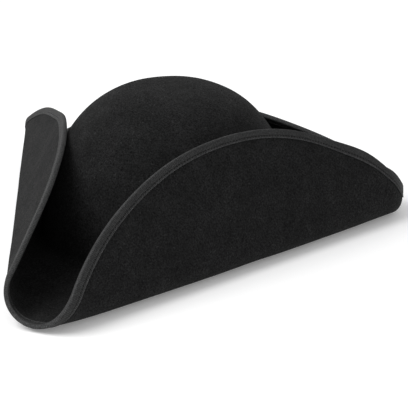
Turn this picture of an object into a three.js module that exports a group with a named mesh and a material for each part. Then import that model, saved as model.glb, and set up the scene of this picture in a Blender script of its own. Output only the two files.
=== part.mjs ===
// A three-cornered hat of blocked wool felt: a low domed crown and a round brim turned up in three flaps.
// Millimetres. +Z is up along the crown, -Y is the front corner, and Z = 0 is the plane that the hat lies on.
import * as THREE from 'three';

// ---- driving dimensions -------------------------------------------------------------------------------
const FELT = 2.6;                 // thickness of the blocked felt
const GAP = 0.3;                  // clearance between pieces that touch
const CROWN = {
  front: 97.2,                    // half length of the oval at the base, to the middle of the felt
  side: 92.5,                     // half width of the oval at the base
  height: 103.3,                  // top of the crown
  rise: 1.58,                     // exponent of height in the crown's curve: lower is more conical
  fullness: 2.91,                 // exponent of radius: higher is fuller at the shoulder
  fillet: 8,                      // radius where the crown turns out into the brim
};
const BRIM = {
  radius: 190,                    // the felt circle that the brim is cut to, before it is turned up
  centre: new THREE.Vector2(-2.1, -4.4),
  bend: 13.5,                     // radius of the turn-up in the middle of a flap
  bendGrowth: 3.2,                // how much the turn-up opens towards the corners
  bendSpan: 150,                  // distance along the fold over which it opens that much
};
// Each flap turns up about a straight fold: the fold's normal direction, its distance from the brim's
// centre, and how far the flap leans in past upright.
const FLAPS = {
  right: { angle: -24.4, distance: 103, lean: 22.1 },
  back: { angle: 82, distance: 124, lean: 34.8 },
  left: { angle: 211.5, distance: 108.8, lean: 33 },
};
// Between the right and back flaps the tip of the corner curls up about a short, tight fold of its own,
// which fades out within `spread` degrees.
const TIP_CURL = { angle: 26, distance: 172, lean: 0, bend: 7.2, spread: 32 };
// Each corner lies between two flaps: how much longer the brim is cut there, and how far its tip rises above
// the table, beginning at `riseStart` from the brim's centre.
const CORNERS = [
  { from: 'left', to: 'right', reach: -1.6, rise: 3, riseStart: 150 },
  { from: 'right', to: 'back', reach: -7.1, rise: 0, riseStart: 150 },
  { from: 'back', to: 'left', reach: 29.8, rise: 3, riseStart: 180 },
];
const REACH_WIDTH = 50;           // degrees to each side of a corner over which its reach fades out
const RISE = { width: 38, length: 38 };
const BINDING = { width: 5.5, thickness: 0.55, clearance: 0.5 };
const THREAD = { radius: 0.35, sides: 4, fromEdge: 1.3, clearance: 0.4 };
const SWEATBAND = { low: 2.6, high: 33, thickness: 1, clearance: 0.5, endGap: 1.2 };
const BOW = { loop: 11, loopRise: 5, tail: 9, tailDrop: 12, knot: 2.6, thickness: 1.6, centreHeight: 17 };
const TACK = { radius: 0.8, sides: 8, belowRim: 8.5, endGap: 1.1 };
const STATIONS = 114;             // steps round the hat
const CROWDING = 0.4;             // how much closer together they are at the corners than on average
const ROWS = { crown: 6, fillet: 3, brim: 9 };
const BAND_STATIONS = 54;

const radians = THREE.MathUtils.degToRad;
const smooth = (x) => THREE.MathUtils.smoothstep(x, 0, 1);

// ---- the hat's middle surface -------------------------------------------------------------------------

// Fraction of the base oval that the crown still has at height z.
function crownFraction(z) {
  return Math.pow(1 - Math.pow(z / CROWN.height, CROWN.rise), 1 / CROWN.fullness);
}

function ovalPoint(theta) {
  return new THREE.Vector2(CROWN.side * Math.cos(theta), CROWN.front * Math.sin(theta));
}

function ovalNormal(theta) {
  return new THREE.Vector2(CROWN.front * Math.cos(theta), CROWN.side * Math.sin(theta)).normalize();
}

// Half the angle that a flap's fold takes up on the brim's circle.
function flapHalfAngle(flap) {
  return THREE.MathUtils.radToDeg(Math.acos(flap.distance / BRIM.radius));
}

// Direction of a corner: midway between the ends of the two folds beside it.
function cornerAngle(corner) {
  const from = FLAPS[corner.from];
  const to = FLAPS[corner.to];
  const start = from.angle + flapHalfAngle(from);
  const end = to.angle - flapHalfAngle(to);
  return start + (THREE.MathUtils.euclideanModulo(end - start + 180, 360) - 180) / 2;
}

for (const corner of CORNERS) {
  corner.angle = cornerAngle(corner);
}

// 1 at a corner's own direction, falling smoothly to 0 at the given number of degrees from it.
function cornerWeight(corner, theta, width) {
  const turn = THREE.MathUtils.radToDeg(theta) - corner.angle;
  const away = Math.abs(THREE.MathUtils.euclideanModulo(turn + 180, 360) - 180);
  return smooth(1 - away / width);
}

function brimRadius(theta) {
  let radius = BRIM.radius;
  for (const corner of CORNERS) {
    radius += corner.reach * cornerWeight(corner, theta, REACH_WIDTH);
  }
  return radius;
}

// A strip of felt crosses its fold line and is bent up on an arc: how far along and how high the point
// lies that was `past` the line when flat. Lengths along the felt are kept.
function bendStrip(past, angle, radius) {
  const half = radius * angle / 2;
  const onArc = THREE.MathUtils.clamp(past + half, 0, 2 * half) / radius;
  const straight = Math.max(past - half, 0);
  const along = -half + radius * Math.sin(onArc) + straight * Math.cos(angle) + Math.min(past + half, 0);
  const height = radius * (1 - Math.cos(onArc)) + straight * Math.sin(angle);
  return { along, height };
}

// Turns the three flaps and the curled tip of the flat brim up, and lifts the corners.
function turnUp(x, y, z) {
  const fromCentre = new THREE.Vector2(x, y).sub(BRIM.centre);
  const folded = new THREE.Vector3(x, y, z);
  for (const fold of [...Object.values(FLAPS), TIP_CURL]) {
    const normal = new THREE.Vector2(Math.cos(radians(fold.angle)), Math.sin(radians(fold.angle)));
    const past = fromCentre.dot(normal) - fold.distance;
    const sideways = fromCentre.cross(normal) / BRIM.bendSpan;
    const radius = fold.bend ?? BRIM.bend + BRIM.bendGrowth * sideways * sideways;
    const strip = bendStrip(past, radians(90 + fold.lean), radius);
    const share = fold.spread ? cornerWeight(fold, fromCentre.angle(), fold.spread) : 1;
    folded.x += share * (strip.along - past) * normal.x;
    folded.y += share * (strip.along - past) * normal.y;
    folded.z += share * strip.height;
  }
  for (const corner of CORNERS) {
    const outward = Math.max((fromCentre.length() - corner.riseStart) / RISE.length, 0);
    folded.z += corner.rise * cornerWeight(corner, fromCentre.angle(), RISE.width) * outward * outward;
  }
  return folded;
}

// The angle in the crown's curve where the fillet at its foot takes over.
const SHOULDER = Math.acos(Math.pow(CROWN.fillet / CROWN.height, CROWN.rise / 2));

// A point on the middle of the felt. `path` runs 0..1 down the crown, 1..2 round the fillet at its foot
// and 2..3 out along the brim to the cut edge.
function felt(theta, path) {
  const oval = ovalPoint(theta);
  if (path <= 1) {
    const a = path * SHOULDER;
    const fraction = Math.pow(Math.sin(a), 2 / CROWN.fullness);
    const height = CROWN.height * Math.pow(Math.cos(a), 2 / CROWN.rise);
    return turnUp(oval.x * fraction, oval.y * fraction, height);
  }
  const wall = oval.multiplyScalar(crownFraction(CROWN.fillet));
  const normal = ovalNormal(theta);
  if (path <= 2) {
    const turn = (path - 1) * Math.PI / 2;
    const out = CROWN.fillet * (1 - Math.cos(turn));
    const up = CROWN.fillet * (1 - Math.sin(turn));
    return turnUp(wall.x + out * normal.x, wall.y + out * normal.y, up);
  }
  const foot = wall.addScaledVector(normal, CROWN.fillet);
  const radius = brimRadius(theta);
  const edge = new THREE.Vector2(Math.cos(theta), Math.sin(theta)).multiplyScalar(radius).add(BRIM.centre);
  const flat = foot.lerp(edge, path - 2);
  return turnUp(flat.x, flat.y, 0);
}

// Length of the flat brim at this angle, from the foot of the crown to the cut edge.
function brimWidth(theta) {
  const foot = ovalPoint(theta).multiplyScalar(crownFraction(CROWN.fillet));
  foot.addScaledVector(ovalNormal(theta), CROWN.fillet);
  const edge = new THREE.Vector2(Math.cos(theta), Math.sin(theta)).multiplyScalar(brimRadius(theta));
  return edge.add(BRIM.centre).distanceTo(foot);
}

// The path value that lies this far inside the cut edge.
function pathFromEdge(theta, inside) {
  return 3 - inside / brimWidth(theta);
}

// Position, outward normal and outward edge direction on the middle surface, raised so that the
// underside of the flat brim is at Z = 0.
function frameAt(theta, path) {
  const step = 1e-3;
  const before = felt(theta, Math.max(path - step, 0));
  const after = felt(theta, Math.min(path + step, 3));
  const down = after.sub(before).normalize();
  const round = felt(theta + step, path).sub(felt(theta - step, path)).normalize();
  const normal = new THREE.Vector3().crossVectors(down, round).normalize();
  const point = felt(theta, path);
  point.z += FELT / 2;
  return { point, normal, down };
}

// ---- building closed solids ---------------------------------------------------------------------------

function solid(points, triangles, material, name) {
  const geometry = new THREE.BufferGeometry();
  geometry.setAttribute('position', new THREE.Float32BufferAttribute(points.flatMap((p) => [p.x, p.y, p.z]), 3));
  geometry.setIndex(signedVolume(points, triangles) > 0 ? triangles : triangles.slice().reverse());
  geometry.computeVertexNormals();
  const mesh = new THREE.Mesh(geometry, material);
  mesh.name = name;
  return mesh;
}

function signedVolume(points, triangles) {
  let volume = 0;
  const cross = new THREE.Vector3();
  for (let i = 0; i < triangles.length; i += 3) {
    const [a, b, c] = [points[triangles[i]], points[triangles[i + 1]], points[triangles[i + 2]]];
    volume += a.dot(cross.crossVectors(b, c)) / 6;
  }
  return volume;
}

// Joins rings of equal length, each a closed section of the piece. Without caps the last ring joins the
// first one; with caps the two ends are closed by fans.
function sweep(rings, capped, material, name) {
  const sides = rings[0].length;
  const points = rings.flat();
  const triangles = [];
  const last = capped ? rings.length - 1 : rings.length;
  for (let i = 0; i < last; i += 1) {
    const a = i * sides;
    const b = ((i + 1) % rings.length) * sides;
    for (let j = 0; j < sides; j += 1) {
      const k = (j + 1) % sides;
      triangles.push(a + j, b + j, b + k, a + j, b + k, a + k);
    }
  }
  if (capped) {
    const end = (rings.length - 1) * sides;
    for (let j = 1; j < sides - 1; j += 1) {
      triangles.push(0, j, j + 1, end, end + j + 1, end + j);
    }
  }
  return solid(points, triangles, material, name);
}

// The steps round the hat are closer together at its three corners, where the felt curves most.
function stationAngle(i) {
  const even = i * 2 * Math.PI / STATIONS;
  return even - CROWDING / 3 * Math.sin(3 * (even + Math.PI / 2));
}

const stations = Array.from({ length: STATIONS }, (_, i) => stationAngle(i));

function shifted(frame, out, along = 0) {
  return frame.point.clone().addScaledVector(frame.normal, out).addScaledVector(frame.down, along);
}

// ---- pieces -------------------------------------------------------------------------------------------

// Path values of the felt's rows, apart from the apex.
function feltRows(theta) {
  const rows = [];
  for (let i = 1; i <= ROWS.crown; i += 1) {
    rows.push(i / ROWS.crown);
  }
  for (let i = 1; i <= ROWS.fillet; i += 1) {
    rows.push(1 + i / ROWS.fillet);
  }
  const inner = pathFromEdge(theta, BINDING.width) - 2;
  for (let i = 1; i <= ROWS.brim; i += 1) {
    rows.push(2 + inner * i / ROWS.brim);
  }
  rows.push(3);
  return rows;
}

// Crown and brim are one piece of felt: an outer skin, an inner skin and the cut edge between them.
function feltBody(material) {
  const columns = stations.map((theta) => feltRows(theta).map((path) => frameAt(theta, path)));
  const rows = columns[0].length;
  const apex = new THREE.Vector3(0, 0, CROWN.height + FELT / 2);
  const points = [];
  const triangles = [];
  for (const side of [FELT / 2, -FELT / 2]) {
    const top = points.length;
    points.push(apex.clone().setZ(apex.z + side));
    columns.forEach((column) => column.forEach((frame) => points.push(shifted(frame, side))));
    for (let i = 0; i < STATIONS; i += 1) {
      const a = top + 1 + i * rows;
      const b = top + 1 + ((i + 1) % STATIONS) * rows;
      const faces = [[top, a, b]];
      for (let j = 0; j < rows - 1; j += 1) {
        const [near, far] = side > 0 ? [a, b] : [b, a];
        faces.push([near + j, near + j + 1, far + j], [near + j + 1, far + j + 1, far + j]);
      }
      faces.forEach((face, k) => triangles.push(...(side > 0 || k > 0 ? face : face.reverse())));
    }
  }
  const inner = 1 + STATIONS * rows;
  for (let i = 0; i < STATIONS; i += 1) {
    const a = i * rows + rows;
    const b = ((i + 1) % STATIONS) * rows + rows;
    triangles.push(a, inner + a, inner + b, a, inner + b, b);
  }
  return solid(points, triangles, material, 'felt_body');
}

// The ribbon folded over the cut edge, the same width on both faces.
function brimBinding(material) {
  const near = FELT / 2 + BINDING.clearance;
  const far = near + BINDING.thickness;
  const rings = stations.map((theta) => {
    const start = frameAt(theta, pathFromEdge(theta, BINDING.width));
    const edge = frameAt(theta, 3);
    const fold = GAP + BINDING.thickness;
    return [
      shifted(start, near), shifted(start, far), shifted(edge, far), shifted(edge, near, fold),
      shifted(edge, -near, fold), shifted(edge, -far), shifted(start, -far), shifted(start, -near),
      shifted(edge, -near, GAP), shifted(edge, near, GAP),
    ];
  });
  return sweep(rings, false, material, 'brim_binding');
}

// Section of a thread lying at a point: a small polygon in the plane of two directions.
function threadSection(centre, first, second) {
  return Array.from({ length: THREAD.sides }, (_, i) => {
    const turn = i * 2 * Math.PI / THREAD.sides;
    const point = centre.clone().addScaledVector(first, THREAD.radius * Math.cos(turn));
    return point.addScaledVector(second, THREAD.radius * Math.sin(turn));
  });
}

// One thread of the lockstitch that holds the binding: on the outside (1) or the inside (-1) of the flaps.
function bindingThread(side, material, name) {
  const ribbonFace = FELT / 2 + BINDING.clearance + BINDING.thickness;
  const lift = side * (ribbonFace + THREAD.clearance + THREAD.radius);
  const rings = stations.map((theta) => {
    const start = frameAt(theta, pathFromEdge(theta, BINDING.width));
    const edge = frameAt(theta, 3);
    const share = THREAD.fromEdge / BINDING.width;
    const centre = shifted(start, lift).lerp(shifted(edge, lift), share);
    return threadSection(centre, start.normal, start.down);
  });
  return sweep(rings, false, material, name);
}

// The crown's inner wall at this height, moved in by the given amount.
function insideWall(theta, height, inset) {
  const point = ovalPoint(theta).multiplyScalar(crownFraction(Math.max(height - FELT / 2, 0)));
  point.addScaledVector(ovalNormal(theta), -FELT / 2 - inset);
  return new THREE.Vector3(point.x, point.y, height);
}

// Angles of a strip that starts and ends beside the back of the crown, with its gap between the ends.
function stripAngles(count, gap) {
  const start = Math.PI / 2 + gap / 2 / CROWN.front;
  const sweepAngle = 2 * Math.PI - gap / CROWN.front;
  return Array.from({ length: count + 1 }, (_, i) => start + sweepAngle * i / count);
}

function sweatband(material) {
  const heights = [0, 0.5, 1].map((share) => THREE.MathUtils.lerp(SWEATBAND.low, SWEATBAND.high, share));
  const outer = SWEATBAND.clearance;
  const inner = outer + SWEATBAND.thickness;
  const rings = stripAngles(BAND_STATIONS, SWEATBAND.endGap).map((theta) => [
    ...heights.map((height) => insideWall(theta, height, outer)),
    ...heights.toReversed().map((height) => insideWall(theta, height, inner)),
  ]);
  return sweep(rings, true, material, 'sweatband');
}

function sweatbandThread(material) {
  const height = SWEATBAND.low + 2.4;
  const inset = SWEATBAND.clearance + SWEATBAND.thickness + GAP + THREAD.radius;
  const up = new THREE.Vector3(0, 0, 1);
  const rings = stripAngles(BAND_STATIONS, 3 * SWEATBAND.endGap).map((theta) => {
    const normal = ovalNormal(theta);
    const out = new THREE.Vector3(normal.x, normal.y, 0);
    return threadSection(insideWall(theta, height, inset), out, up);
  });
  return sweep(rings, true, material, 'sweatband_thread');
}

// A flat ribbon bow where the sweatband's ends meet: two loops, a knot and two tails in one outline.
function sweatbandBow(material) {
  const shape = new THREE.Shape();
  const { loop, loopRise, tail, tailDrop, knot } = BOW;
  shape.moveTo(knot, knot);
  shape.quadraticCurveTo(loop * 0.6, loopRise * 1.5, loop, loopRise);
  shape.quadraticCurveTo(loop * 1.25, 0, loop, -loopRise * 0.8);
  shape.quadraticCurveTo(loop * 0.6, -loopRise * 0.8, knot, -knot * 0.6);
  shape.lineTo(tail, -tailDrop);
  shape.lineTo(tail * 0.62, -tailDrop * 1.05);
  shape.lineTo(0, -knot);
  shape.lineTo(-tail * 0.62, -tailDrop * 1.05);
  shape.lineTo(-tail, -tailDrop);
  shape.lineTo(-knot, -knot * 0.6);
  shape.quadraticCurveTo(-loop * 0.6, -loopRise * 0.8, -loop, -loopRise * 0.8);
  shape.quadraticCurveTo(-loop * 1.25, 0, -loop, loopRise);
  shape.quadraticCurveTo(-loop * 0.6, loopRise * 1.5, -knot, knot);
  const geometry = new THREE.ExtrudeGeometry(shape, {
    depth: BOW.thickness, bevelEnabled: false, curveSegments: 6,
  });
  geometry.rotateX(Math.PI / 2);
  const mesh = new THREE.Mesh(geometry, material);
  const height = BOW.centreHeight + BOW.loopRise;
  const wall = insideWall(Math.PI / 2, height, SWEATBAND.clearance + SWEATBAND.thickness + 3 * GAP);
  mesh.position.set(0, wall.y - 1.6, BOW.centreHeight);
  mesh.name = 'sweatband_bow';
  return mesh;
}

// A bar of thread between a flap's inner face and the crown, level with the middle of the flap.
function tack(flap, material, name) {
  const theta = radians(flap.angle);
  const frame = frameAt(theta, pathFromEdge(theta, BINDING.width + TACK.belowRim));
  const height = frame.point.z;
  const outwards = new THREE.Vector3(Math.cos(theta), Math.sin(theta), 0);
  const flapFace = shifted(frame, FELT / 2);
  const flapReach = flapFace.dot(outwards);
  const crown = ovalPoint(theta).multiplyScalar(crownFraction(height - FELT / 2));
  const crownReach = crown.dot(new THREE.Vector2(outwards.x, outwards.y)) + FELT / 2;
  const length = Math.max(flapReach - crownReach - 2 * TACK.endGap, TACK.radius);
  const geometry = new THREE.CylinderGeometry(TACK.radius, TACK.radius, length, TACK.sides);
  const mesh = new THREE.Mesh(geometry, material);
  const sideways = flapFace.clone().addScaledVector(outwards, -flapReach);
  mesh.position.copy(outwards).multiplyScalar((flapReach + crownReach) / 2);
  mesh.position.x += sideways.x;
  mesh.position.y += sideways.y;
  mesh.position.z = height;
  mesh.quaternion.setFromUnitVectors(new THREE.Vector3(0, 1, 0), outwards);
  mesh.name = name;
  return mesh;
}

// ---- materials and assembly ---------------------------------------------------------------------------

function cloth(color, roughness) {
  return new THREE.MeshStandardMaterial({ color, roughness, metalness: 0 });
}

const blackFelt = cloth(0x1b1b1c, 0.95);
const charcoalRibbon = cloth(0x3a3a3c, 0.7);
const blackThread = cloth(0x242426, 0.8);
const bandCloth = cloth(0x151516, 0.75);

const hat = new THREE.Group();
hat.add(
  feltBody(blackFelt),
  brimBinding(charcoalRibbon),
  bindingThread(-1, blackThread, 'binding_outer_thread'),
  bindingThread(1, blackThread, 'binding_inner_thread'),
  sweatband(bandCloth),
  sweatbandThread(blackThread),
  sweatbandBow(charcoalRibbon),
  tack(FLAPS.right, blackThread, 'tack_right'),
  tack(FLAPS.back, blackThread, 'tack_back'),
  tack(FLAPS.left, blackThread, 'tack_left'),
);

export default hat;
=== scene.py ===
import math

import bpy
import numpy as np
from mathutils import Matrix, Vector


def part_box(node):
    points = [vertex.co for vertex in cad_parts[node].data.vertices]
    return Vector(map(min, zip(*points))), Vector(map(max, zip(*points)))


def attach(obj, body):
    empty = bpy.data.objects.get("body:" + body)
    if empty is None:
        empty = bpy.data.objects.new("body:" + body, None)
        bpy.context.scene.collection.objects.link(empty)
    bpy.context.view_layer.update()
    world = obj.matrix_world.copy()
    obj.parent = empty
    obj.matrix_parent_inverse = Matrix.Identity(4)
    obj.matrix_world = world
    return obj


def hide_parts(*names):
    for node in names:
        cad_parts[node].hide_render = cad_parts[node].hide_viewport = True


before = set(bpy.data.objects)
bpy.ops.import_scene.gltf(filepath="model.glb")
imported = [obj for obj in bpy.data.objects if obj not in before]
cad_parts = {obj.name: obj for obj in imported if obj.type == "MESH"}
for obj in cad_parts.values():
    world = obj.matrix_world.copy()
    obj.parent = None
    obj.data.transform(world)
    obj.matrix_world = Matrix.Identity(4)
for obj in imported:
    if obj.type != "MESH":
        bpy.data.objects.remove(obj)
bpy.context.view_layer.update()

# ---- driving dimensions --------------------------------------------------------------------------------
MM = 0.001
TURN = 2 * math.pi

# The blocked felt. Its middle surface is the CAD model's.
FELT = 2.6 * MM
PRESSED_FELT = 2.2 * MM  # thickness under the binding, where the stitches press it
PRESS_START, PRESS_LENGTH = 5.6 * MM, 1.6 * MM  # how far inside the cut edge it thickens, and over what
CROWN_FRONT = 97.2 * MM  # half length of the base oval
CROWN_SIDE = 92.5 * MM  # half width
CROWN_HEIGHT = 103.3 * MM
CROWN_RISE, CROWN_FULLNESS = 1.58, 2.91  # exponents of the superellipse of its profile
CROWN_FILLET = 8 * MM
BRIM_RADIUS = 190 * MM
BRIM_CENTRE = (-2.1 * MM, -4.4 * MM)
BEND = 13.5 * MM  # radius of a flap's turn-up in its middle
BEND_GROWTH = 3.2 * MM  # how much it opens over BEND_SPAN towards the corners
BEND_SPAN = 150 * MM
# Each flap: the direction of its fold, the fold's distance from the brim's centre, and its lean past upright.
# Directions and leans are in degrees.
FLAPS = {
    "right": (-24.4, 103 * MM, 22.1),
    "back": (82, 124 * MM, 34.8),
    "left": (211.5, 108.8 * MM, 33),
}
# The tip between the right and back flaps curls up about a short fold of its own: as above, then its radius
# and the degrees either side within which it fades out.
TIP_CURL = (26, 172 * MM, 0)
TIP_BEND, TIP_SPREAD = 7.2 * MM, 32
# Each corner: the flaps beside it, how much longer the brim is cut there, how far its tip rises, and the
# distance from the brim's centre at which that rise starts.
CORNERS = [
    ("left", "right", -1.6 * MM, 3 * MM, 150 * MM),
    ("right", "back", -7.1 * MM, 0, 150 * MM),
    ("back", "left", 29.8 * MM, 3 * MM, 180 * MM),
]
REACH_WIDTH, RISE_WIDTH = 50, 38  # degrees either side of a corner over which its reach and its rise fade out
RISE_LENGTH = 38 * MM  # from where a rise starts to where it is whole
WAVER = 0.3 * MM  # unevenness left by hand steaming
DENT = 0.25 * MM  # soft dents in the crown
FELT_STATIONS = 400  # round the hat
FELT_ROWS = {"crown": 44, "fillet": 10, "brim": 56, "edge": 5}
CROWDING = 0.4  # 0 spaces the stations evenly, towards 1 they crowd together at the corners

# The grosgrain ribbon folded over the cut edge, and the lockstitch that holds it. Counts of ribs are for the
# whole way round, and their steps are the stations that shape one rib.
RIBBON_WIDTH = 5.5 * MM  # on each face
RIBBON_THICKNESS = 0.42 * MM
RIBBON_LIFT = 0.12 * MM  # between the pressed felt and the ribbon
FOLD_GIRTH = 1.9 * MM  # round half its fold
FOLD_REACH, FOLD_ROUNDING = 0.35 * MM, 0.1 * MM  # how far it stands off the cut edge, and more mid-fold
INNER_FOLD_REACH = 0.3 * MM
RIBBON_RIBS = 972
RIB_HEIGHT = 0.07 * MM
RIB_STEPS = 3
SELVEDGE = 0.6 * MM  # width of its woven edge, where its material paints a highlight
SCALLOP = 0.09 * MM  # how far the stitches draw the selvedge in and out
STITCH_INSET = 1.35 * MM  # from the ribbon's selvedge to the row of stitches
STITCHES = RIBBON_RIBS // 2
STITCH_PULL = 0.26 * MM  # how deep the row pulls the ribbon in
HOLE_PULL = 0.22 * MM  # and how much deeper at each needle hole
INNER_PULL = 0.1 * MM  # the most that the ribbon's inner side gives way
GROOVE_WIDTH, HOLE_LENGTH = 0.55 * MM, 0.16  # the pull's reach: across the row, and along it in stitches
THREAD_RADIUS = 0.17 * MM
STITCH_SINK, STITCH_RISE = 1.6, 2.7  # from the groove's floor down into a hole, and up from there: in radii
STITCH_SLANT = 0.14 * MM  # how far a stitch strays to either side of the row
TAKE_UP = 1.25  # length of thread for each length of row

# The band inside the crown, its zigzag stitches and its bow.
BAND_LOW, BAND_HIGH = 2.6 * MM, 33 * MM
BAND_THICKNESS = 0.8 * MM
BAND_CLEARANCE = 0.5 * MM  # to the felt
BAND_RIBS = 400
BAND_RIB_HEIGHT, BAND_RIB_STEPS = 0.06 * MM, 4
BAND_ROWS = 9
BAND_HEM = 0.25 * MM  # how far the hem near its upper edge stands out
BAND_EDGES = (0.25 * MM, 0.3 * MM)  # how far its lower and its upper edge are rounded out
BAND_GAP = 1.2 * MM  # about what its ends leave open at the back
ZIGZAGS = 190
ZIGZAG_LOW, ZIGZAG_HIGH = 1.3 * MM, 3.7 * MM  # above the band's lower edge
ZIGZAG_LIE, ZIGZAG_LIFT = 0.05 * MM, 0.25 * MM  # off the band's face at its points, and more in between
BOW_HEIGHT = 17 * MM
BOW_STANDOFF = 2.1 * MM  # from the band's face to the bow's middle
BOW_LOOP = 11.6 * MM  # from the knot to the end of a loop
BOW_PUFF, BOW_LIFT = 1.5 * MM, 2.2 * MM  # how far a loop swells and rises
BOW_THICKNESS = 0.4 * MM
LOOP_WIDTHS, TAIL_WIDTHS = (2.2 * MM, 5.2 * MM), (2.4 * MM, 4.2 * MM)  # gathered in the knot, then spread
TAIL_SPREAD, TAIL_FALL = 6.8 * MM, 10.5 * MM  # how far a tail reaches out and down
TAIL_SLANT = 1.5 * MM  # of its cut end, to either side
KNOT_WIDTH, KNOT_DEPTH, KNOT_HEIGHT = 1.9 * MM, 1.5 * MM, 1.9 * MM  # half sizes

# The thread tacks: strands twisted together, and one wrapped round them.
TACK_STRANDS, TACK_STRAND = 3, 0.24 * MM  # how many, and their radius
TACK_TWIST = 2.2  # radians from the tack's middle to its end
TACK_SPREAD, TACK_FLARE = 0.22 * MM, 0.3 * MM  # the strands' distance from the axis, and more at the ends
TACK_SINK = 0.6 * MM  # how far each end goes into the felt
TACK_WRAPS, TACK_WRAPPED = 4, 0.7  # turns in half its length if wrapped whole, and the share that is wrapped
TACK_WRAP, TACK_WRAP_OUT = 0.16 * MM, 0.56 * MM  # the wrapping thread's radius and distance out

# The materials: shades, the widths of their marks, and how much the fibre ends standing on felt and ribbon
# lighten them at a glance.
FELT_SHADE, THREAD_SHADE = 0.0115, 0.011
BRIM_RIBBON_SHADE, BAND_SHADE, BOW_SHADE = 0.026, 0.011, 0.019
FELT_NAP, RIBBON_NAP = 0.028, 0.015
FIBRE, TUFT, LINT, PATCH, CLOUD = 0.34 * MM, 1.15 * MM, 1.7 * MM, 5.5 * MM, 19 * MM
WARP, GRAIN, SLUB, WEAR = 0.26 * MM, 0.6 * MM, 1.2 * MM, 9 * MM
BAND_RIB, BOW_RIB = 1.44 * MM, 0.8 * MM
THREAD_TWIST, THREAD_FLUFF = 0.55 * MM, 0.2 * MM

# The stage. Each light: its place, the length of its side, its power in watts.
FLOOR_REACH, FLOOR_DROP = 4.0, 0.5 * MM
FLOOR_GLOW, WORLD_LIGHT = 0.16, 0.62
LIGHTS = {"key": ((-1.1, -1.1, 1.9), 1.8, 46), "fill": ((1.5, -0.6, 1.2), 1.4, 1)}
LIT_POINT = (0, 0, 0.04)
AZIMUTH, ELEVATION, ROLL = 28.46, 21.85, -1.59  # degrees
CAMERA_DISTANCE, LENS = 1.1626, 140.5
CAMERA_TARGET = (22.3 * MM, 9.9 * MM, 15.6 * MM)

# ---- the felt's middle surface ---------------------------------------------------------------------------


def smooth(x):
    """A soft ramp: 0 up to 0, 1 from 1 on."""
    x = np.clip(x, 0, 1)
    return x * x * (3 - 2 * x)


def between(ends, share):
    """The value at that share of the way from the first end to the second."""
    return ends[0] + (ends[1] - ends[0]) * share


def crown_fraction(z):
    """The share of the base oval that the crown still has at height z."""
    return (1 - (z / CROWN_HEIGHT) ** CROWN_RISE) ** (1 / CROWN_FULLNESS)


def oval(theta):
    """The crown's base oval."""
    return CROWN_SIDE * np.cos(theta), CROWN_FRONT * np.sin(theta)


def oval_normal(theta):
    """The outward direction square to the base oval."""
    x, y = CROWN_FRONT * np.cos(theta), CROWN_SIDE * np.sin(theta)
    length = np.hypot(x, y)
    return x / length, y / length


def corner_angle(corner):
    """Direction of a corner in degrees: midway between the ends of the two folds beside it."""
    (start, start_distance, _), (end, end_distance, _) = FLAPS[corner[0]], FLAPS[corner[1]]
    start += math.degrees(math.acos(start_distance / BRIM_RADIUS))
    end -= math.degrees(math.acos(end_distance / BRIM_RADIUS))
    return start + ((end - start + 180) % 360 - 180) / 2


def near_direction(theta, direction, width):
    """1 in that direction, falling smoothly to 0 at width degrees from it."""
    away = np.abs((np.degrees(theta) - direction + 180) % 360 - 180)
    return smooth(1 - away / width)


def brim_radius(theta):
    """The flat brim's radius in this direction, longer or shorter towards the corners."""
    return BRIM_RADIUS + sum(c[2] * near_direction(theta, corner_angle(c), REACH_WIDTH) for c in CORNERS)


def bend_strip(past, angle, radius):
    """A strip crossing its fold is bent up on an arc: how far along and how high it lies, lengths kept."""
    half = radius * angle / 2
    on_arc = np.clip(past + half, 0, 2 * half) / radius
    straight = np.maximum(past - half, 0)
    before = np.minimum(past + half, 0)
    along = radius * np.sin(on_arc) + straight * math.cos(angle) + before - half
    height = radius * (1 - np.cos(on_arc)) + straight * math.sin(angle)
    return along, height


def turn_up(x, y, z):
    """Turns the three flaps and the curled tip of the flat brim up and lifts the corners."""
    from_x, from_y = x - BRIM_CENTRE[0], y - BRIM_CENTRE[1]
    theta = np.arctan2(from_y, from_x)
    folded = np.stack([x, y, z], axis=-1)

    def fold_up(fold, bend, growth, share):
        """Adds that share of one fold's shift, where the bend's radius grows towards the fold's ends."""
        direction, distance, lean = fold
        nx, ny = math.cos(math.radians(direction)), math.sin(math.radians(direction))
        past = from_x * nx + from_y * ny - distance
        sideways = (from_x * ny - from_y * nx) / BEND_SPAN
        along, height = bend_strip(past, math.radians(90 + lean), bend + growth * sideways**2)
        folded[..., 0] += share * (along - past) * nx
        folded[..., 1] += share * (along - past) * ny
        folded[..., 2] += share * height

    for fold in FLAPS.values():
        fold_up(fold, BEND, BEND_GROWTH, 1)
    fold_up(TIP_CURL, TIP_BEND, 0, near_direction(theta, TIP_CURL[0], TIP_SPREAD))
    for corner in CORNERS:
        _, _, _, rise, start = corner
        outward = np.maximum((np.hypot(from_x, from_y) - start) / RISE_LENGTH, 0)
        folded[..., 2] += rise * near_direction(theta, corner_angle(corner), RISE_WIDTH) * outward**2
    return folded


# The angle in the crown's curve where the fillet at its foot takes over.
SHOULDER = math.acos((CROWN_FILLET / CROWN_HEIGHT) ** (CROWN_RISE / 2))


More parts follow.
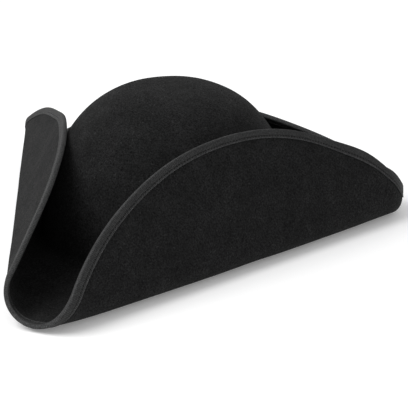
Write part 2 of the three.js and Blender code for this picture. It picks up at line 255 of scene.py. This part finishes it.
def felt(theta, path):
    """The felt's middle. path is 0..1 down the crown, 1..2 round the fillet, 2..3 out to the cut edge."""
    theta, path = np.broadcast_arrays(theta, path)
    oval_x, oval_y = oval(theta)
    normal_x, normal_y = oval_normal(theta)
    a = np.clip(path, 0, 1) * SHOULDER
    dome = np.sin(a) ** (2 / CROWN_FULLNESS)
    dome_height = CROWN_HEIGHT * np.cos(a) ** (2 / CROWN_RISE)
    turn = (np.clip(path, 1, 2) - 1) * math.pi / 2
    wall = crown_fraction(CROWN_FILLET)
    out = CROWN_FILLET * (1 - np.cos(turn))
    x = np.where(path <= 1, oval_x * dome, oval_x * wall + out * normal_x)
    y = np.where(path <= 1, oval_y * dome, oval_y * wall + out * normal_y)
    z = np.where(path <= 1, dome_height, CROWN_FILLET * (1 - np.sin(turn)))
    share = np.maximum(path - 2, 0)
    radius = brim_radius(theta)
    x = x + share * (BRIM_CENTRE[0] + radius * np.cos(theta) - x)
    y = y + share * (BRIM_CENTRE[1] + radius * np.sin(theta) - y)
    return turn_up(x, y, z)


def brim_width(theta):
    """Length of the flat brim at this angle, from the crown's foot to the cut edge."""
    oval_x, oval_y = oval(theta)
    normal_x, normal_y = oval_normal(theta)
    wall = crown_fraction(CROWN_FILLET)
    radius = brim_radius(theta)
    x = BRIM_CENTRE[0] + radius * np.cos(theta) - oval_x * wall - normal_x * CROWN_FILLET
    y = BRIM_CENTRE[1] + radius * np.sin(theta) - oval_y * wall - normal_y * CROWN_FILLET
    return np.hypot(x, y)


def path_from_edge(theta, inside):
    """The felt's path value at this distance inside the cut edge."""
    return 3 - inside / brim_width(theta)


def unit(v):
    return v / np.linalg.norm(v, axis=-1, keepdims=True)


def unevenness(theta, path):
    """Height of the felt's soft waves and dents: nothing at the crown's foot, most at the rim and high up."""
    waves = np.sin(5 * theta + 0.4) + 0.6 * np.sin(11 * theta + 2.1) + 0.4 * np.sin(17 * theta)
    rim = smooth(path - 2) * waves
    high = smooth(1 - path) * smooth(path * 4)
    dents = high * (np.sin(3 * theta + 5 * path) + 0.7 * np.sin(5 * theta - 7 * path + 1))
    return WAVER * rim + DENT * dents


def frame_at(theta, path):
    """Point, normal and direction towards the cut edge, with the flat brim's underside at Z = 0."""
    theta, path = np.broadcast_arrays(theta, path)
    step = 1e-3
    down = unit(felt(theta, np.minimum(path + step, 3)) - felt(theta, np.maximum(path - step, 0)))
    around = unit(felt(theta + step, path) - felt(theta - step, path))
    normal = unit(np.cross(down, around))
    point = felt(theta, path) + normal * unevenness(theta, path)[..., None]
    point[..., 2] += FELT / 2
    return point, normal, down


# Angles round the cut edge, the length travelled along it at each, and its whole length.
edge_theta = np.linspace(0, TURN, 20001)
edge_points = frame_at(edge_theta, np.full_like(edge_theta, 3.0))[0]
edge_travel = np.concatenate([[0], np.cumsum(np.linalg.norm(np.diff(edge_points, axis=0), axis=1))])
EDGE_LENGTH = float(edge_travel[-1])


def edge_angles(count):
    """Angles of that many points at equal steps of length along the cut edge."""
    return np.interp(np.arange(count) * EDGE_LENGTH / count, edge_travel, edge_theta)


# ---- meshes ----------------------------------------------------------------------------------------------


def mesh_piece(name, points, faces, material, uvs=None):
    """A smooth-shaded mesh object riding on the hat. Its faces are given so that they point out."""
    points = np.asarray(points, float)
    mesh = bpy.data.meshes.new(name)
    mesh.from_pydata(points.tolist(), [], faces)
    if uvs is not None:
        layer = mesh.uv_layers.new(name="UVMap")
        layer.data.foreach_set("uv", np.asarray(uvs, np.float32).ravel())
    mesh.polygons.foreach_set("use_smooth", [True] * len(mesh.polygons))
    mesh.materials.append(material)
    mesh.update()
    piece = bpy.data.objects.new(name, mesh)
    bpy.context.scene.collection.objects.link(piece)
    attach(piece, "root")
    return piece


def grid_faces(stations, sides, ring, section, first=0):
    """Quads over a grid of stations x sides, closed round the ring or the section where asked."""
    i = np.arange(stations if ring else stations - 1)
    j = np.arange(sides if section else sides - 1)
    i, j = np.meshgrid(i, j, indexing="ij")
    k, m = (i + 1) % stations, (j + 1) % sides
    quads = np.stack([i * sides + j, i * sides + m, k * sides + m, k * sides + j], axis=-1)
    return quads.reshape(-1, 4) + first


def grid_uvs(u, v, quads_u, quads_v):
    """UVs of the same quads, where u and v have one value more than there are quads in that direction."""
    i, j = np.meshgrid(np.arange(quads_u), np.arange(quads_v), indexing="ij")
    corners = [(u[i], v[j]), (u[i], v[j + 1]), (u[i + 1], v[j + 1]), (u[i + 1], v[j])]
    return np.stack([np.stack(corner, axis=-1) for corner in corners], axis=-2).reshape(-1, 2)


def swept(name, rings, length, material, ring=True, middle=0):
    """A closed solid through rings of one closed section each. Across, its UV is 0 at the middle point."""
    stations, sides = rings.shape[:2]
    faces = grid_faces(stations, sides, ring, True).tolist()
    steps = stations if ring else stations - 1
    girth = np.linalg.norm(np.diff(rings[0], axis=0, append=rings[0][:1]), axis=1)
    around = np.concatenate([[0], np.cumsum(girth)])
    around -= around[middle]
    uvs = grid_uvs(np.linspace(0, length, steps + 1), around, steps, sides)
    if not ring:
        last = (stations - 1) * sides
        faces.append(list(range(sides))[::-1])
        faces.append([last + j for j in range(sides)])
        uvs = np.concatenate([uvs, np.zeros((2 * sides, 2))])
    return mesh_piece(name, rings.reshape(-1, 3), faces, material, uvs)


def tube_rings(centres, first, second, radius, sides=6):
    """Rings of a tube; first and second span each ring's plane, and first x second points back along it."""
    turn = np.arange(sides) * TURN / sides
    across = np.cos(turn)[:, None] * first[:, None] + np.sin(turn)[:, None] * second[:, None]
    return centres[:, None] + radius * across


def frames_along(centres):
    """Two directions across an open line at each of its points, turning as little as they can."""
    tangents = unit(np.gradient(centres, axis=0))
    side = np.cross(tangents[0], [0.3, 0.2, 0.93])  # any direction that no line here starts along
    sides = []
    for tangent in tangents:
        side = side - tangent * np.dot(side, tangent)
        side = side / np.linalg.norm(side)
        sides.append(side)
    first = np.array(sides)
    return first, np.cross(first, tangents)


# ---- materials -------------------------------------------------------------------------------------------


class Shader:
    """A node material with one Principled surface, built by short calls."""

    def __init__(self, name, **constants):
        self.material = bpy.data.materials.new(name)
        self.material.use_nodes = True
        self.tree = self.material.node_tree
        self.surface = self.tree.nodes["Principled BSDF"]
        for socket, value in constants.items():
            self.surface.inputs[socket.replace("_", " ")].default_value = value

    def add(self, kind, settings=None, **inputs):
        """A new node's output. Inputs go by their names, with _ for a space, or by number: _0, _1, _2."""
        node = self.tree.nodes.new("ShaderNode" + kind)
        for key, value in (settings or {}).items():
            setattr(node, key, value)
        for key, value in inputs.items():
            self.feed(node.inputs[int(key[1:]) if key[1:].isdigit() else key.replace("_", " ")], value)
        return node.outputs[0]

    def feed(self, socket, value):
        if isinstance(value, bpy.types.NodeSocket):
            self.tree.links.new(value, socket)
        else:
            socket.default_value = value

    def object_place(self):
        node = self.tree.nodes.new("ShaderNodeTexCoord")
        return node.outputs["Object"]

    def uv_place(self):
        node = self.tree.nodes.new("ShaderNodeTexCoord")
        return node.outputs["UV"]

    def noise(self, place, size, detail=2.0, roughness=0.5, distortion=0.0):
        """Noise whose features are about that many metres wide."""
        return self.add("TexNoise", Vector=place, Scale=1 / size, Detail=detail, Roughness=roughness,
                        Distortion=distortion)

    def stretched(self, place, angles, stretch):
        return self.add("Mapping", Vector=place, Rotation=angles, Scale=stretch)

    def math(self, operation, a, b=0.0, c=0.0):
        return self.add("Math", {"operation": operation}, _0=a, _1=b, _2=c)

    def remap(self, value, low, high, to_low=0.0, to_high=1.0):
        return self.add("MapRange", {"clamp": True}, Value=value, From_Min=low, From_Max=high,
                        To_Min=to_low, To_Max=to_high)

    def ramp(self, factor, *stops):
        """Colours at the given places of factor, each stop a place and a colour."""
        node = self.tree.nodes.new("ShaderNodeValToRGB")
        elements = node.color_ramp.elements
        for index, (place, colour) in enumerate(stops):
            element = elements[index] if index < 2 else elements.new(place)
            element.position = place
            element.color = (*colour, 1)
        self.feed(node.inputs[0], factor)
        return node.outputs[0]

    def tinted(self, tint, value):
        return self.add("VectorMath", {"operation": "SCALE"}, Vector=tint, Scale=value)

    def bump(self, height, strength, distance):
        return self.add("Bump", Height=height, Strength=strength, Distance=distance)

    def link(self, socket, value):
        self.tree.links.new(value, self.surface.inputs[socket])


def grey(value, tint=0.0):
    """A grey, a little blue where the tint is above 0."""
    return (value * (1 - tint), value, value * (1 + tint))


def felt_material():
    """Matt wool felt: matted fibres, cloudy shade, lint flecks, and a short nap that lightens at a glance."""
    m = Shader("wool_felt", Roughness=0.95, Sheen_Roughness=0.5)
    m.surface.inputs["Specular IOR Level"].default_value = 0.05
    place = m.object_place()
    fibres = None
    for angles in ((0.3, 0.1, 0.5), (0.9, 1.7, 0.2), (2.1, 0.6, 1.4)):
        lay = m.stretched(place, angles, (1, 0.16, 1))
        strands = m.noise(lay, FIBRE, 3, 0.6, 0.6)
        fibres = strands if fibres is None else m.math("MAXIMUM", fibres, strands)
    tufts = m.noise(place, TUFT, 2, 0.7)
    lint = m.noise(place, LINT, 1, 0.4)
    patches = m.noise(place, PATCH, 2, 0.5)
    clouds = m.noise(place, CLOUD, 3, 0.55)
    shade = m.math("MULTIPLY", m.remap(fibres, 0.45, 0.75, 0.7, 1.5), m.remap(tufts, 0.28, 0.72, 0.3, 1.7))
    shade = m.math("MULTIPLY", shade, m.remap(patches, 0.3, 0.7, 0.88, 1.12))
    shade = m.math("MULTIPLY", shade, m.remap(clouds, 0.3, 0.7, 0.84, 1.16))
    shade = m.math("ADD", shade, m.remap(lint, 0.7, 0.78, 0.0, 1.1))
    m.link("Base Color", m.tinted(grey(FELT_SHADE, 0.01), shade))
    m.link("Sheen Weight", m.math("MULTIPLY", shade, FELT_NAP))
    relief = m.math("MULTIPLY_ADD", fibres, 0.6, m.math("MULTIPLY", tufts, 0.9))
    m.link("Normal", m.bump(relief, 0.7, 0.4 * MM))
    return m.material


def ribbon_material(name, shade, rib, half_girth=None):
    """Grosgrain: warp threads over ribs at that spacing, with painted shade between the ribs and painted
    light on them. UV is metres along and across it. A folded ribbon, given its half girth, gets a painted
    highlight at its selvedges and on its fold, and painted shade in its row of stitches."""
    m = Shader(name, Roughness=0.58, Sheen_Roughness=0.4)
    m.surface.inputs["Specular IOR Level"].default_value = 0.13
    uv = m.add("SeparateXYZ", Vector=m.uv_place())
    along, across = uv.node.outputs["X"], uv.node.outputs["Y"]
    warp = m.math("SINE", m.math("MULTIPLY", across, TURN / WARP))
    valley = m.math("COSINE", m.math("MULTIPLY", along, TURN / rib))
    place = m.object_place()
    grain = m.noise(m.stretched(m.uv_place(), (0, 0, 0), (1, 0.5, 1)), GRAIN, 2, 0.7)
    slubs = m.noise(place, SLUB, 2, 0.6)
    wear = m.noise(place, WEAR, 3, 0.5)
    tone = m.math("MULTIPLY", m.remap(grain, 0.3, 0.7, 0.35, 1.65), m.remap(slubs, 0.3, 0.7, 0.65, 1.35))
    # Painted shade in the valleys between the ribs and painted light on the rib tops.
    tone = m.math("MULTIPLY", tone, m.remap(valley, -1, 1, 1.25, 0.7))
    tone = m.math("MULTIPLY", tone, m.remap(wear, 0.3, 0.7, 0.88, 1.12))
    if half_girth:
        from_fold = m.math("ABSOLUTE", across)
        # Painted highlight along each selvedge.
        selvedge_highlight = m.remap(from_fold, half_girth - SELVEDGE, half_girth - 0.5 * SELVEDGE, 1.0, 1.5)
        # Painted highlight on the ribbon's fold.
        fold = m.remap(from_fold, 1.0 * MM, 2.4 * MM, 1.6, 1.0)
        # Painted shade in the groove of the stitch row, darkest at the needle holes.
        from_row = m.math("ABSOLUTE", m.math("SUBTRACT", from_fold, half_girth - STITCH_INSET))
        in_row = m.remap(from_row, 0.2 * MM, 0.9 * MM, 1.0, 0.0)
        beat = m.math("COSINE", m.math("MULTIPLY", along, TURN * STITCHES / EDGE_LENGTH))
        depth = m.remap(beat, -0.5, 0.8, 0.3, 0.95)
        stitch_row_shade = m.math("SUBTRACT", 1.0, m.math("MULTIPLY", in_row, depth))
        tone = m.math("MULTIPLY", tone, m.math("MULTIPLY", selvedge_highlight, fold))
        tone = m.math("MULTIPLY", tone, stitch_row_shade)
    m.link("Base Color", m.tinted(grey(shade, 0.01), tone))
    m.link("Sheen Weight", m.math("MULTIPLY", tone, RIBBON_NAP))
    relief = m.math("MULTIPLY_ADD", warp, 0.3, m.math("SUBTRACT", grain, m.math("MULTIPLY", valley, 0.4)))
    m.link("Normal", m.bump(relief, 0.6, 0.15 * MM))
    return m.material


def thread_material():
    """Twisted thread. UV is metres along and round the thread."""
    m = Shader("stitch_thread", Roughness=0.5, Sheen_Weight=0.2, Sheen_Roughness=0.4)
    m.surface.inputs["Specular IOR Level"].default_value = 0.4
    uv = m.add("SeparateXYZ", Vector=m.uv_place())
    slope = m.math("MULTIPLY_ADD", uv.node.outputs["Y"], 1.1, uv.node.outputs["X"])
    twist = m.math("SINE", m.math("MULTIPLY", slope, TURN / THREAD_TWIST))
    fluff = m.noise(m.object_place(), THREAD_FLUFF, 2)
    m.link("Base Color", m.ramp(m.math("MULTIPLY_ADD", twist, 0.2, fluff),
                                (0.3, grey(THREAD_SHADE * 0.55)), (0.7, grey(THREAD_SHADE * 1.35))))
    m.link("Normal", m.bump(twist, 0.6, 0.06 * MM))
    return m.material


def floor_material():
    """A pale studio table that glows a little, so that shadows on it stay light."""
    m = Shader("studio_floor", Roughness=0.8, Emission_Color=(1, 1, 1, 1), Emission_Strength=FLOOR_GLOW)
    m.surface.inputs["Specular IOR Level"].default_value = 0.1
    drift = m.noise(m.object_place(), 0.4, 2)
    m.link("Base Color", m.ramp(drift, (0.3, (0.90, 0.90, 0.905)), (0.7, (0.93, 0.93, 0.93))))
    return m.material


# ---- pieces ----------------------------------------------------------------------------------------------


def felt_half(inside):
    """Half the felt's thickness at this distance from the cut edge."""
    return between((PRESSED_FELT, FELT), smooth((inside - PRESS_START) / PRESS_LENGTH)) / 2


def felt_body(material):
    """Crown and brim in one: a section from the apex over the edge and back inside, swept round the hat."""
    half_edge = PRESSED_FELT / 2
    even = np.arange(FELT_STATIONS) * TURN / FELT_STATIONS
    theta = (even - CROWDING / 3 * np.sin(3 * (even + math.pi / 2)))[:, None]
    crown = np.linspace(0, 1, FELT_ROWS["crown"] + 1)[1:]
    fillet = 1 + np.linspace(0, 1, FELT_ROWS["fillet"] + 1)[1:]
    brim = np.linspace(0, 1, FELT_ROWS["brim"] + 1)[1:]
    last = path_from_edge(theta, half_edge)
    upper = np.tile(np.concatenate([crown, fillet]), (FELT_STATIONS, 1))
    path = np.concatenate([upper, 2 + (last - 2) * brim], axis=1)
    point, normal, down = frame_at(theta, path)
    inside = np.where(path > 2, (3 - path) * brim_width(theta), 1.0)
    half = felt_half(inside)[..., None]
    turn = np.linspace(math.pi / 2, -math.pi / 2, FELT_ROWS["edge"] + 2)[1:-1]
    rim = (point[:, -1:] + half_edge * np.sin(turn)[None, :, None] * normal[:, -1:]
           + half_edge * np.cos(turn)[None, :, None] * down[:, -1:])
    skins = np.concatenate([point + half * normal, rim, (point - half * normal)[:, ::-1]], axis=1)
    stations, sides = skins.shape[:2]
    faces = grid_faces(stations, sides, True, False).tolist()
    apexes = [[0, 0, CROWN_HEIGHT + FELT], [0, 0, CROWN_HEIGHT]]
    top = stations * sides
    for i in range(stations):
        k = (i + 1) % stations
        faces.append([top, i * sides, k * sides])
        faces.append([top + 1, (k + 1) * sides - 1, (i + 1) * sides - 1])
    points = np.concatenate([skins.reshape(-1, 3), apexes])
    piece = mesh_piece("felt_hat", points, faces, material)
    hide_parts("felt_body")


def groove(inside, along):
    """How far the stitch row pulls the ribbon in, most at the needle holes. along is in stitches."""
    row = RIBBON_WIDTH - STITCH_INSET
    near_row = np.exp(-(((inside - row) / GROOVE_WIDTH) ** 2))
    near_hole = np.exp(-(((along + 0.5) % 1 - 0.5) / HOLE_LENGTH) ** 2)
    return near_row * (STITCH_PULL + HOLE_PULL * near_hole)


def brim_binding(material):
    """Grosgrain folded over the edge: ribs across it, a rolled selvedge, and a pulled-in row of stitches."""
    stations = RIBBON_RIBS * RIB_STEPS
    theta = edge_angles(stations)[:, None]
    along = (np.arange(stations) / (2 * RIB_STEPS))[:, None]  # in stitches, of two ribs each
    rib = RIB_HEIGHT * (0.5 - 0.5 * np.cos(TURN * np.arange(stations) / RIB_STEPS))[:, None]
    # The points across a face, as distances from the cut edge: outside, then against the felt.
    face = RIBBON_WIDTH - np.array([0, 0.35, 0.75, 1.35, 1.95, 2.9, 4.2, 5.2]) * MM
    back = RIBBON_WIDTH - np.array([0.15, 1.35, 2.9, 5.1]) * MM
    bead = np.array([0, 0.16, 0.1, 0, 0, 0, 0, 0]) * MM  # height of the rolled selvedge
    scallop = SCALLOP * np.cos(TURN * along) * (face > RIBBON_WIDTH - 1 * MM)

    def lifted(inside, height):
        """Points of the felt's middle at these distances from the cut edge, and the height as vectors."""
        point, normal, _ = frame_at(theta, path_from_edge(theta, inside))
        return point, normal * height[..., None]

    lying = PRESSED_FELT / 2 + RIBBON_LIFT
    outer_height = lying + RIBBON_THICKNESS + bead + rib - groove(face, along)
    inner_height = lying - np.minimum(groove(back, along), INNER_PULL)
    point, up = lifted(face + scallop, outer_height)
    under_point, under_up = lifted(back, inner_height)
    edge, edge_normal, edge_down = frame_at(theta, np.full_like(theta, 3.0))
    turn = np.radians([62, 31, 0, -31, -62])
    fold_height = (lying + RIBBON_THICKNESS + rib) * np.sin(turn)
    fold_reach = FOLD_REACH + (RIBBON_THICKNESS + rib + FOLD_ROUNDING) * np.cos(turn)
    fold = edge + fold_height[..., None] * edge_normal + fold_reach[..., None] * edge_down
    inner_fold_height = 0.8 * lying * np.array([-1, 1])
    inner_fold = edge + inner_fold_height[:, None] * edge_normal + INNER_FOLD_REACH * edge_down
    rings = np.concatenate([
        point + up, fold, (point - up)[:, ::-1],
        under_point - under_up, inner_fold, (under_point + under_up)[:, ::-1],
    ], axis=1)
    piece = swept("brim_ribbon", rings, EDGE_LENGTH, material, middle=len(face) + 2)
    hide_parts("brim_binding")


def stitch_row(side, name, node, material):
    """One thread of the lockstitch, up out of a needle hole, along the groove and down into the next."""
    steps = 10
    count = STITCHES * steps
    theta = edge_angles(count)
    share = np.arange(count) % steps / steps
    row = RIBBON_WIDTH - STITCH_INSET
    point, normal, down = frame_at(theta, path_from_edge(theta, row))
    groove_floor = PRESSED_FELT / 2 + RIBBON_LIFT + RIBBON_THICKNESS - STITCH_PULL
    arch = np.sin(math.pi * share) ** 0.6
    height = groove_floor - STITCH_SINK * THREAD_RADIUS + STITCH_RISE * THREAD_RADIUS * arch
    slant = STITCH_SLANT * (2 * share - 1) * (share > 0)
    centres = point + side * height[:, None] * normal + slant[:, None] * down
    rings = tube_rings(centres, normal, down, THREAD_RADIUS)
    piece = swept(name, rings, TAKE_UP * EDGE_LENGTH, material)
    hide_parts(node)


def inside_wall(theta, height, inset):
    """A point on the crown's inner wall at this height, moved in by inset."""
    oval_x, oval_y = oval(theta)
    normal_x, normal_y = oval_normal(theta)
    fraction = crown_fraction(np.maximum(height - FELT / 2, 0))
    x = oval_x * fraction - normal_x * (FELT / 2 + inset)
    y = oval_y * fraction - normal_y * (FELT / 2 + inset)
    return np.stack(np.broadcast_arrays(x, y, height), axis=-1)


def band_angles(count, gap):
    """Angles along a strip whose two ends leave about that gap at the back."""
    start = math.pi / 2 + gap / 2 / CROWN_FRONT
    return start + np.linspace(0, TURN - gap / CROWN_FRONT, count)


def sweatband(material):
    """Ribbed band standing inside the crown, its top edge loose and a little wavy."""
    stations = BAND_RIBS * BAND_RIB_STEPS + 1
    theta = band_angles(stations, BAND_GAP)[:, None]
    rib = BAND_RIB_HEIGHT * (0.5 - 0.5 * np.cos(TURN * np.arange(stations) / BAND_RIB_STEPS))[:, None]
    heights = np.linspace(BAND_LOW, BAND_HIGH, BAND_ROWS)
    share = (heights - BAND_LOW) / (BAND_HIGH - BAND_LOW)
    loose = share**2 * (0.5 + 0.35 * np.sin(4 * theta + 1) + 0.3 * np.sin(7 * theta)) * MM
    hem = BAND_HEM * np.exp(-(((share - 0.97) / 0.04) ** 2))
    outer = inside_wall(theta, heights, BAND_CLEARANCE + loose)
    inner = inside_wall(theta, heights, BAND_CLEARANCE + BAND_THICKNESS + loose + rib + hem)
    middle = BAND_CLEARANCE + BAND_THICKNESS / 2
    edge_low = inside_wall(theta, np.array([BAND_LOW - BAND_EDGES[0]]), middle)
    edge_high = inside_wall(theta, np.array([BAND_HIGH + BAND_EDGES[1]]), middle + loose[:, -1:])
    rings = np.concatenate([outer[:, ::-1], edge_low, inner, edge_high], axis=1)
    length = float(np.linalg.norm(np.diff(outer[:, 0], axis=0), axis=1).sum())
    piece = swept("sweatband_ribbon", rings, length, material, ring=False)
    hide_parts("sweatband")


def sweatband_stitches(material):
    """Zigzag along the band's lower edge."""
    steps = 8
    theta = band_angles(ZIGZAGS * steps + 1, 3 * BAND_GAP)
    phase = np.arange(len(theta)) / steps
    swing = 0.5 + np.arcsin(0.97 * np.cos(TURN * phase)) / math.pi  # a zigzag with slightly round points
    height = BAND_LOW + between((ZIGZAG_LOW, ZIGZAG_HIGH), swing)
    lift = np.sin(TURN * phase) ** 2
    inset = BAND_CLEARANCE + BAND_THICKNESS + ZIGZAG_LIE + ZIGZAG_LIFT * lift
    centres = inside_wall(theta, height, inset)
    first, second = frames_along(centres)
    rings = tube_rings(centres, first, second, THREAD_RADIUS)
    length = float(np.linalg.norm(np.diff(centres, axis=0), axis=1).sum())
    piece = swept("sweatband_zigzag", rings, length, material, ring=False)
    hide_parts("sweatband_thread")


def strip_rings(centres, across, out, width):
    """Rings of a narrow ribbon: across is its width's direction and out its face's, one each per point."""
    shape = [(-0.5, -0.35), (-0.52, 0), (-0.5, 0.35), (-0.25, 0.5), (0.25, 0.5),
             (0.5, 0.35), (0.52, 0), (0.5, -0.35), (0.25, -0.5), (-0.25, -0.5)]
    rings = [centres + a * width[:, None] * across + b * BOW_THICKNESS * out for a, b in shape]
    return np.stack(rings, axis=1)


def joined(name, parts, material):
    """One piece from several closed solids, each given as its rings."""
    points, faces, uvs, first = [], [], [], 0
    for rings in parts:
        stations, sides = rings.shape[:2]
        faces += grid_faces(stations, sides, False, True, first).tolist()
        steps = np.linalg.norm(np.diff(rings[:, 0], axis=0), axis=1)
        girth = np.linalg.norm(np.diff(rings[0], axis=0, append=rings[0][:1]), axis=1)
        along, around = np.concatenate([[0], np.cumsum(steps)]), np.concatenate([[0], np.cumsum(girth)])
        uvs += [grid_uvs(along, around, stations - 1, sides), np.zeros((2 * sides, 2))]
        last = first + (stations - 1) * sides
        faces += [list(range(first, first + sides))[::-1], list(range(last, last + sides))]
        points.append(rings.reshape(-1, 3))
        first += stations * sides
    return mesh_piece(name, np.concatenate(points), faces, material, np.concatenate(uvs))


def bow_loop(middle, side):
    """One loop: from the knot out to that side and back, widest at its end."""
    turn = np.linspace(0, TURN, 41)
    reach = BOW_LOOP / 2 * (1 - np.cos(turn)) * side
    puff = BOW_PUFF * np.sin(turn) * np.sin(turn / 2) ** 0.5
    rise = BOW_LIFT * np.sin(turn / 2) ** 2
    centres = np.stack([middle.x + reach, middle.y - puff * side, middle.z + rise], axis=-1)
    tangent = unit(np.gradient(centres, axis=0))
    across = np.tile([0.0, 0.0, 1.0], (len(turn), 1))
    out = unit(np.cross(tangent, across))
    width = between(LOOP_WIDTHS, np.sin(turn / 2) ** 1.2)
    return strip_rings(centres, across, out, width)


def bow_tail(middle, side):
    """One tail: down and out to that side, wavy, a little twisted, and cut off aslant."""
    t = np.linspace(0, 1, 24)
    fall = np.stack([middle.x + side * (1.0 * MM + TAIL_SPREAD * t),
                     middle.y + (0.5 - 0.6 * np.sin(5 * t)) * MM,
                     middle.z - (0.8 * MM + TAIL_FALL * t**1.15)], axis=-1)
    tangent = unit(np.gradient(fall, axis=0))
    twist = 0.5 * t * side
    level = unit(np.cross(tangent, np.tile([0.0, 1.0, 0.0], (len(t), 1))))
    face = unit(np.cross(tangent, level))
    across = np.cos(twist)[:, None] * level + np.sin(twist)[:, None] * face
    out = unit(np.cross(tangent, across))
    width = between(TAIL_WIDTHS, smooth(3 * t))
    rings = strip_rings(fall, across, out, width)
    aslant = np.array([-9, -9, -7, -3, 3, 7, 9, 9, 3, -3]) / 9  # -1 at one side of the ribbon, 1 at the other
    rings[-1, :, 2] += TAIL_SLANT * aslant
    return rings


def bow_knot(middle):
    """The knot: an upright barrel of ribbon wrapped round with slight ridges."""
    turn = np.linspace(0, TURN, 25)[:-1]
    z = np.linspace(-KNOT_HEIGHT, KNOT_HEIGHT, 9)[:, None]
    ridges = 1 + 0.05 * np.sin(2.2 * np.arange(len(z)))[:, None]
    swell = ridges * (1 - 0.35 * (z / KNOT_HEIGHT) ** 4)
    x, y = KNOT_WIDTH * swell * np.cos(turn), KNOT_DEPTH * swell * np.sin(turn)
    return np.stack([middle.x + x, middle.y + y, middle.z + z + 0 * turn], axis=-1)


def sweatband_bow(material):
    """A flat bow: two loops and two tails of narrow ribbon, and a knot wrapped round their middle."""
    middle = Vector(inside_wall(math.pi / 2, BOW_HEIGHT, BAND_CLEARANCE + BAND_THICKNESS + BOW_STANDOFF))
    parts = []
    for side in (-1, 1):
        parts += [bow_loop(middle, side), bow_tail(middle, side)]
    parts.append(bow_knot(middle))
    piece = joined("bow", parts, material)
    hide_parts("sweatband_bow")


def tack(flap, node, material):
    """Strands of thread twisted together between a flap's inner face and the crown, and one wrapped round."""
    direction = math.radians(FLAPS[flap][0])
    out = np.array([math.cos(direction), math.sin(direction), 0.0])
    side, up = np.array([-out[1], out[0], 0.0]), np.array([0.0, 0.0, 1.0])
    low, high = (np.array(corner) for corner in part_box(node))
    centre = (low + high) / 2
    half = np.abs(out) @ (high - low) / 2 + TACK_SINK

    def thread_along(t, turn, spread, radius):
        """Rings of a thread turning about the tack's axis, where t goes from -1 to 1 along the tack."""
        centres = (centre + half * t[:, None] * out
                   + (spread * np.cos(turn))[:, None] * side + (spread * np.sin(turn))[:, None] * up)
        first, second = frames_along(centres)
        return tube_rings(centres, first, second, radius)

    t = np.linspace(-1, 1, 60)
    spread = TACK_SPREAD + TACK_FLARE * t**4
    parts = [thread_along(t, strand * TURN / TACK_STRANDS + TACK_TWIST * t, spread, TACK_STRAND)
             for strand in range(TACK_STRANDS)]
    t = np.linspace(-TACK_WRAPPED, TACK_WRAPPED, 160)
    parts.append(thread_along(t, TURN * TACK_WRAPS * t, TACK_WRAP_OUT, TACK_WRAP))
    piece = joined("thread_" + node, parts, material)
    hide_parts(node)


# ---- stage: floor, light and camera ----------------------------------------------------------------------


def floor():
    """A square of floor, just low enough to clear the soft waves in the felt."""
    mesh = bpy.data.meshes.new("floor")
    corners = [(x * FLOOR_REACH, y * FLOOR_REACH, 0) for x, y in ((-1, -1), (1, -1), (1, 1), (-1, 1))]
    mesh.from_pydata(corners, [], [(0, 1, 2, 3)])
    mesh.materials.append(floor_material())
    plane = bpy.data.objects.new("floor", mesh)
    plane.location.z = -FLOOR_DROP
    bpy.context.scene.collection.objects.link(plane)


def area_light(name, place, side, power):
    """A square light that faces LIT_POINT."""
    light = bpy.data.lights.new(name, "AREA")
    light.shape = "SQUARE"
    light.size = side
    light.energy = power
    lamp = bpy.data.objects.new(name, light)
    lamp.location = place
    lamp.rotation_euler = (Vector(LIT_POINT) - Vector(place)).to_track_quat("-Z", "Y").to_euler()
    bpy.context.scene.collection.objects.link(lamp)


def lights():
    """Even white light from all round, with a soft key and a faint fill."""
    world = bpy.data.worlds.new("studio")
    world.use_nodes = True
    background = world.node_tree.nodes["Background"]
    background.inputs["Color"].default_value = (1, 1, 1, 1)
    background.inputs["Strength"].default_value = WORLD_LIGHT
    bpy.context.scene.world = world
    for name, (place, side, power) in LIGHTS.items():
        area_light(name, place, side, power)
    bpy.context.scene.view_settings.view_transform = "Standard"


def camera():
    """At the photo's viewing angle: azimuth round the hat, elevation, and a slight roll."""
    azimuth, elevation, roll = (math.radians(angle) for angle in (AZIMUTH, ELEVATION, ROLL))
    back = Vector((math.sin(azimuth) * math.cos(elevation), -math.cos(azimuth) * math.cos(elevation),
                   math.sin(elevation)))
    level = Vector((math.cos(azimuth), math.sin(azimuth), 0))
    upright = back.cross(level)
    right = level * math.cos(roll) + upright * math.sin(roll)
    up = upright * math.cos(roll) - level * math.sin(roll)
    data = bpy.data.cameras.new("camera")
    data.lens = LENS
    data.clip_end = 20
    eye = bpy.data.objects.new("camera", data)
    turned = Matrix((right, up, back)).transposed().to_4x4()
    eye.matrix_world = Matrix.Translation(Vector(CAMERA_TARGET) + back * CAMERA_DISTANCE) @ turned
    bpy.context.scene.collection.objects.link(eye)
    bpy.context.scene.camera = eye


# ---- assembly --------------------------------------------------------------------------------------------

floor()
lights()
camera()

thread = thread_material()
charcoal_ribbon = ribbon_material("charcoal_grosgrain", BRIM_RIBBON_SHADE, EDGE_LENGTH / RIBBON_RIBS,
                                  RIBBON_WIDTH + FOLD_GIRTH)
felt_body(felt_material())
brim_binding(charcoal_ribbon)
stitch_row(-1, "outer_stitches", "binding_outer_thread", thread)
stitch_row(1, "inner_stitches", "binding_inner_thread", thread)
sweatband(ribbon_material("band_grosgrain", BAND_SHADE, BAND_RIB))
sweatband_stitches(thread)
sweatband_bow(ribbon_material("bow_grosgrain", BOW_SHADE, BOW_RIB))
for flap in FLAPS:
    tack(flap, "tack_" + flap, thread)
